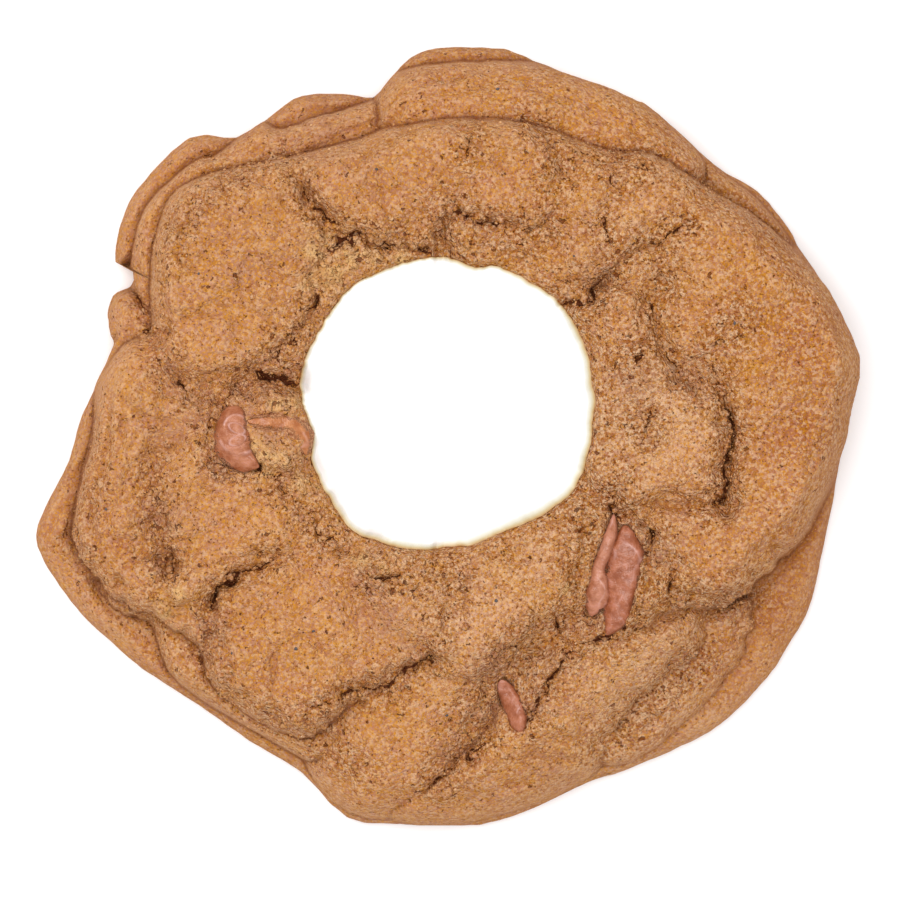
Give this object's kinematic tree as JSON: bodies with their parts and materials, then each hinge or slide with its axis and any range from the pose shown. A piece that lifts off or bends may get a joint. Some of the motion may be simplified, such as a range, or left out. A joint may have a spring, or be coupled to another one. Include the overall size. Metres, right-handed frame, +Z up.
{
  "type": "gingerbread cookie",
  "caption": "Thick craggy drop-style gingerbread cookie with a round pool of white icing set in its top and melted chips showing in its folds.",
  "frame": {"origin": "middle of the cookie's length and width, on its flat base", "axes": "+Z up out of the icing; +X along the cookie's longest side, towards its big smooth right-hand fold; +Y towards the folded band at its far edge"},
  "size_m": [0.1112, 0.1056, 0.0242],
  "materials": {
    "dough": "baked gingerbread crumb, dull and grainy",
    "icing": "smooth set white icing with a soft gloss",
    "chip": "melted and set caramel-coloured chip, glossy"
  },
  "bodies": {
    "root": {"cookie": "dough", "icing": "icing", "chip_left": "chip", "chip_left_smear": "chip", "chip_right_narrow": "chip", "chip_right_large": "chip", "chip_lower": "chip"}
  },
  "joints": []
}
